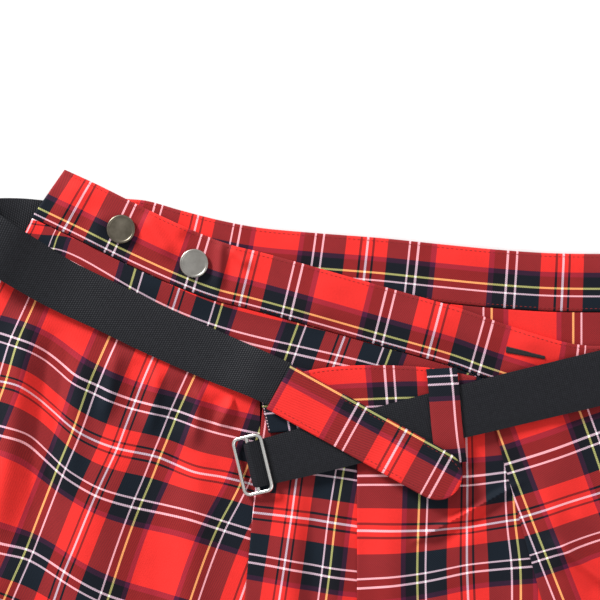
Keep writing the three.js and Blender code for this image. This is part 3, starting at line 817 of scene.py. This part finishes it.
# outwards from the middle of the sett: thread colour and where it ends, in mm
HALF_SETT = [
    ("white", 0.5), ("red", 2.7), ("black", 3.8), ("red", 10.8), ("green", 21.8), ("white", 22.8),
    ("black", 26.2), ("yellow", 27.3), ("black", 33.3), ("purple", 36.0), ("red", 49.5),
]


class Nodes:
    """Short helpers for building a material's node tree."""

    def __init__(self, name):
        self.material = bpy.data.materials.new(name)
        self.material.use_nodes = True
        self.tree = self.material.node_tree
        self.tree.nodes.clear()
        self.shader = self.tree.nodes.new("ShaderNodeBsdfPrincipled")
        out = self.tree.nodes.new("ShaderNodeOutputMaterial")
        self.tree.links.new(self.shader.outputs[0], out.inputs[0])

    def node(self, kind, **settings):
        made = self.tree.nodes.new(kind)
        for key, value in settings.items():
            setattr(made, key, value)
        return made

    def feed(self, socket, value):
        if isinstance(value, bpy.types.NodeSocket):
            self.tree.links.new(value, socket)
        else:
            socket.default_value = value

    def math(self, operation, a, b=0.0, c=0.0):
        made = self.node("ShaderNodeMath", operation=operation)
        for socket, value in zip(made.inputs, (a, b, c)):
            self.feed(socket, value)
        return made.outputs[0]

    def blend(self, kind, factor, a, b):
        made = self.node("ShaderNodeMix", data_type="RGBA", blend_type=kind)
        for socket, value in zip((made.inputs[0], made.inputs[6], made.inputs[7]), (factor, a, b)):
            self.feed(socket, value)
        return made.outputs[2]

    def grey(self, value):
        made = self.node("ShaderNodeCombineColor")
        for socket in made.inputs:
            self.feed(socket, value)
        return made.outputs[0]

    def noise(self, vector, scale, detail=3.0, rough=0.55):
        made = self.node("ShaderNodeTexNoise")
        self.feed(made.inputs["Vector"], vector)
        for socket, value in (("Scale", scale), ("Detail", detail), ("Roughness", rough)):
            made.inputs[socket].default_value = value
        return made.outputs["Fac"]

    def weave_uv(self):
        uv = self.node("ShaderNodeUVMap", uv_map="weave").outputs[0]
        split = self.node("ShaderNodeSeparateXYZ")
        self.feed(split.inputs[0], uv)
        return uv, split.outputs[0], split.outputs[1]

    def bump(self, height, strength, distance):
        made = self.node("ShaderNodeBump")
        made.inputs["Strength"].default_value = strength
        made.inputs["Distance"].default_value = distance
        self.feed(made.inputs["Height"], height)
        self.feed(self.shader.inputs["Normal"], made.outputs[0])

    def set(self, **values):
        for name, value in values.items():
            self.feed(self.shader.inputs[name.replace("_", " ")], value)


def stripes(n, coordinate, swap=None):
    """Thread colours across one direction of the sett. swap gives other threads for some of them."""
    share = n.math("DIVIDE", n.math("PINGPONG", coordinate, SETT / 2), SETT / 2)
    made = n.node("ShaderNodeValToRGB")
    ramp = made.color_ramp
    ramp.interpolation = "CONSTANT"
    start = 0.0
    for index, (name, end) in enumerate(HALF_SETT):
        element = ramp.elements[index] if index < 2 else ramp.elements.new(start / (SETT / 2))
        element.position = start / (SETT / 2)
        element.color = (*THREADS[(swap or {}).get(name, name)], 1)
        start = end
    n.feed(made.inputs[0], share)
    return made.outputs[0]


TWILL = 1.15  # one diagonal rib, in mm
TWILL_SHARE = 0.10  # how far the rib shifts the mix of the two directions
WEBBING_RIB = 1.25  # one cross rib, in mm
WEBBING_ROW = 1.3  # one slanting row of yarns, in mm
# noise scales on the weave's chart, per mm
MOTTLE_SCALE, FUZZ_SCALE, NAP_SCALE = 0.09, 1.3, 0.9
DUST_SCALE, YARN_SCALE = 0.4, 1.0
# noise scales on the metal and the thread, per metre
WEAR_SCALE, GRAIN_SCALE, TWIST_SCALE = 180.0, 900.0, 2500.0


def scaled(n, value, gain, base):
    """value times gain, plus base."""
    return n.math("ADD", n.math("MULTIPLY", value, gain), base)


def tartan_material():
    n = Nodes("tartan_twill")
    uv, u, v = n.weave_uv()
    rib = n.math("SINE", n.math("MULTIPLY", n.math("ADD", u, v), 2 * math.pi / TWILL))
    lengthwise = stripes(n, u)
    crosswise = stripes(n, v, {"yellow": "white"})
    mixed = n.blend("MIX", scaled(n, rib, TWILL_SHARE, 0.5), lengthwise, crosswise)
    gamma = n.node("ShaderNodeGamma")
    n.feed(gamma.inputs[0], mixed)
    gamma.inputs[1].default_value = CONTRAST
    gain = GAIN ** CONTRAST
    bright = n.blend("MULTIPLY", 1.0, gamma.outputs[0], (gain, gain, gain, 1))
    bright.node.clamp_result = True
    mottle = scaled(n, n.noise(uv, MOTTLE_SCALE, 4), 0.22, 0.86)
    fuzz = scaled(n, n.noise(uv, FUZZ_SCALE, 3), 0.24, 0.90)
    colour = n.blend("MULTIPLY", 1.0, bright, n.grey(n.math("MULTIPLY", mottle, fuzz)))
    n.set(Base_Color=colour, Roughness=0.74, Specular_IOR_Level=0.18)
    n.set(Sheen_Weight=0.05, Sheen_Roughness=0.45)
    nap = n.math("ADD", n.math("MULTIPLY", rib, 0.5), n.noise(uv, NAP_SCALE, 4))
    n.bump(nap, strength=0.35, distance=0.0003)
    return n.material


def webbing_material():
    n = Nodes("ribbed_webbing")
    uv, u, v = n.weave_uv()
    rib = n.math("SINE", n.math("MULTIPLY", v, 2 * math.pi / WEBBING_RIB))
    slant = n.math("ADD", u, n.math("MULTIPLY", v, 0.5))
    rows = n.math("SINE", n.math("MULTIPLY", slant, 2 * math.pi / WEBBING_ROW))
    height = n.math("ADD", rib, n.math("MULTIPLY", rows, 0.6))
    dust = n.math("MULTIPLY", n.noise(uv, DUST_SCALE, 4), 0.8)
    # random dusty tone, plus painted shade: the rib height makes the rib tops lighter and the grooves
    # between them darker
    light = n.math("ADD", dust, n.math("MULTIPLY", height, 0.06))
    n.set(Base_Color=n.blend("MIX", light, (0.004, 0.004, 0.006, 1), (0.016, 0.017, 0.022, 1)))
    n.set(Roughness=0.55, Specular_IOR_Level=0.22)
    n.set(Sheen_Weight=0.02, Sheen_Tint=(0.5, 0.65, 0.9, 1))
    n.bump(n.math("ADD", height, n.noise(uv, YARN_SCALE, 3)), strength=0.4, distance=0.0002)
    return n.material


def metal_material(name, dark, light, rough):
    n = Nodes(name)
    spot = n.node("ShaderNodeTexCoord").outputs["Object"]
    wear = n.noise(spot, WEAR_SCALE, 5)
    n.set(Base_Color=n.blend("MIX", wear, (*dark, 1), (*light, 1)), Metallic=1.0)
    n.set(Roughness=scaled(n, wear, 0.16, rough))
    n.bump(n.noise(spot, GRAIN_SCALE, 3), strength=0.06, distance=0.0002)
    return n.material


def thread_material(name, colour):
    n = Nodes(name)
    spot = n.node("ShaderNodeTexCoord").outputs["Object"]
    twist = n.noise(spot, TWIST_SCALE, 2)
    shaded = [c * 0.6 for c in colour]
    n.set(Base_Color=n.blend("MIX", twist, (*shaded, 1), (*colour, 1)), Roughness=0.75)
    n.bump(twist, strength=0.4, distance=0.0001)
    return n.material


tartan = tartan_material()
webbing = webbing_material()
button_metals = {
    "button_1": metal_material("bronzed_metal", (0.10, 0.085, 0.06), (0.30, 0.265, 0.21), 0.30),
    "button_2": metal_material("nickel_metal", (0.34, 0.32, 0.29), (0.56, 0.54, 0.50), 0.28),
}
silver = metal_material("silver_wire", (0.80, 0.79, 0.76), (0.95, 0.94, 0.91), 0.18)


def keep(piece, material, slot, *nodes):
    """Gives a piece its finish and its body, and hides the parts that it stands for."""
    piece.data.materials.append(material)
    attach(piece, "root")
    if nodes:
        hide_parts(*nodes)


# ---------- the pieces ----------

# a wall's two pairs are its rough size in mm, which spaces its soft edges, and its steps across and down
cloth = {
    "back_skirt": back_wall(),
    "back_waistband": strip_wall("back_waistband_cloth", back_lines, (400, 32), (220, 20), BAND, 0,
                                 BACK_BAND_CROSSINGS, BACK_BAND_LINES, BACK_BAND_RIDGES),
    "front_apron": apron_wall(),
    "front_waistband": strip_wall("front_waistband_cloth", front_lines, (430, 32), (280, 24), BAND,
                                  FRONT_LEVEL, FRONT_BAND_CROSSINGS, FRONT_BAND_LINES, FRONT_BAND_RIDGES),
    "hip_strip": strip_wall("hip_strip_cloth", hip_lines, (124, 33), (90, 24), STRIP, STRIP_LEVEL,
                            HIP_STRIP_CROSSINGS, HIP_STRIP_LINES),
    "front_pleat_1": pleat_wall("front_pleat_1", (80, 305), (76, 200)),
    "front_pleat_2": pleat_wall("front_pleat_2", (130, 305), (140, 240)),
    "front_pleat_3": pleat_wall("front_pleat_3", (110, 305), (110, 220)),
    "front_pleat_4": pleat_wall("front_pleat_4", (110, 300), (80, 130)),
    "tab": tab_wall(),
    "belt_loop": ribbon("belt_loop_cloth", BELT_LOOP, 70, CLOTH, loop_chart),
}
for node, piece in cloth.items():
    keep(piece, tartan, "tartan", node)

straps = {
    "webbing_left": ribbon("left_belt_webbing", LEFT_WEBBING, 180, WEBBING, belt_chart),
    "webbing_back": ribbon("back_belt_webbing", BACK_WEBBING, 120, WEBBING, belt_chart),
    "webbing_right": ribbon("right_belt_webbing", RIGHT_WEBBING, 280, WEBBING, belt_chart),
}
for node, piece in straps.items():
    keep(piece, webbing, "webbing", node)

for node, centre in BUTTON_PLAN.items():
    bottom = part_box(node)[0].z / MM
    keep(lathe(node + "_cap", BUTTON_PROFILE, centre, bottom), button_metals[node], "metal", node)
keep(buckle_piece(), silver, "metal", "buckle")

# red stitching along the bands, the hip strip and the tab
LOWER_INSET, UPPER_INSET = 1.6, -1.8
band_top = FRONT_LEVEL + BAND
strip_top = STRIP_LEVEL + STRIP
seam_rows = [
    strip_run(front_lines, band_top, LOWER_INSET, FRONT_BAND_RIDGES),
    strip_run(front_lines, band_top, UPPER_INSET, FRONT_BAND_RIDGES),
    strip_run(back_lines, BAND, LOWER_INSET, BACK_BAND_RIDGES),
    strip_run(back_lines, BAND, UPPER_INSET, BACK_BAND_RIDGES),
    strip_run(hip_lines, strip_top, UPPER_INSET),
]
for side_down in (0.1, 0.9):  # just inside the tab's two long edges
    run = np.linspace(3, TAB_LENGTH - 3, 90)
    x, y = tab_point(run, tab_side(run, side_down))
    seam_rows.append(np.stack((x, y, tab_height(run) + TAB + THREAD_RISE), 1))
seams = stitches("red_topstitching", seam_rows)
keep(seams, thread_material("red_thread", (0.30, 0.014, 0.012)), "tartan")

# the hip strip's raw left end is caught down with pale thread
x0, y0, x1, y1, _ = hip_lines(np.array([0.006]))
end_share = np.linspace(0.28, 0.98, 30)
end_x, end_y = mix(x0, x1, end_share), mix(y0, y1, end_share)
end_row = np.stack((end_x, end_y, strip_top + lift(end_x, end_y) + 2 * THREAD_RISE), 1)
pale_end = stitches("pale_end_stitching", [end_row], pitch=1.7, radius=0.3)
keep(pale_end, thread_material("pale_thread", (0.78, 0.52, 0.56)), "tartan")

# a worked buttonhole near the right end of the front waistband, wider at its left end
HOLE_START, HOLE_END = (58.9, -78.4), (79.5, -82.8)
HOLE_LEAN = 0.2
HOLE_RISE = 0.15
bars = []
for t in np.linspace(0, 1, 30):
    x, y = mix(HOLE_START[0], HOLE_END[0], t), mix(HOLE_START[1], HOLE_END[1], t)
    z = band_top + float(lift(x, y)) + float(crease(x, y, FRONT_BAND_RIDGES)) + HOLE_RISE
    reach = mix(2.4, 1.44, t)
    bars.append([(x - HOLE_LEAN, y - reach, z), (x + HOLE_LEAN, y + reach, z)])
buttonhole = stitches("black_buttonhole", bars, pitch=1.5, share=2.0, radius=0.5)
keep(buttonhole, thread_material("black_thread", (0.014, 0.012, 0.014)), "tartan")

# ---------- stage, lights and camera ----------

VIEW_CENTRE = np.array((-55.6, -50.6, 0))  # on the plan, below the camera; what follows is in metres
VIEW_WIDTH = 0.3333  # what the picture takes in at the surface
CAMERA_HEIGHT = 1.6
SENSOR = 36.0  # in mm
FLOOR_SIZE = 8
FLOOR_DROP = 0.0003  # the floor lies just under the cloth
SKY = 0.48


def floor_material():
    n = Nodes("pale_floor")
    spot = n.node("ShaderNodeTexCoord").outputs["Object"]
    shade = n.noise(spot, 6.0)
    n.set(Base_Color=n.blend("MIX", shade, (0.92, 0.92, 0.92, 1), (0.95, 0.95, 0.95, 1)), Roughness=0.9)
    return n.material


bpy.ops.mesh.primitive_plane_add(size=FLOOR_SIZE, location=(0, 0, -FLOOR_DROP))
floor = bpy.context.object
floor.name = "floor"
floor.data.materials.append(floor_material())


def area_light(name, place, target, size, power):
    data = bpy.data.lights.new(name, "AREA")
    data.size = size
    data.energy = power
    lamp = bpy.data.objects.new(name, data)
    lamp.location = place
    lamp.rotation_euler = (Vector(target) - Vector(place)).to_track_quat("-Z", "Y").to_euler()
    bpy.context.scene.collection.objects.link(lamp)


area_light("key", place=(-1.5, 1.7, 1.05), target=(-0.05, 0.1, 0), size=0.6, power=84)
area_light("fill", place=(1.6, -1.0, 2.0), target=(0, 0.1, 0), size=2.0, power=14)
world = bpy.data.worlds.new("studio")
world.use_nodes = True
sky = world.node_tree.nodes["Background"]
sky.inputs["Color"].default_value = (1, 1, 1, 1)
sky.inputs["Strength"].default_value = SKY
bpy.context.scene.world = world
bpy.context.scene.view_settings.view_transform = "Standard"

camera_data = bpy.data.cameras.new("camera")
camera_data.sensor_width = SENSOR
camera_data.lens = SENSOR * CAMERA_HEIGHT / VIEW_WIDTH
camera = bpy.data.objects.new("camera", camera_data)
camera.location = (*((VIEW_CENTRE + ORIGIN) * MM)[:2], CAMERA_HEIGHT)
bpy.context.scene.collection.objects.link(camera)
bpy.context.scene.camera = camera
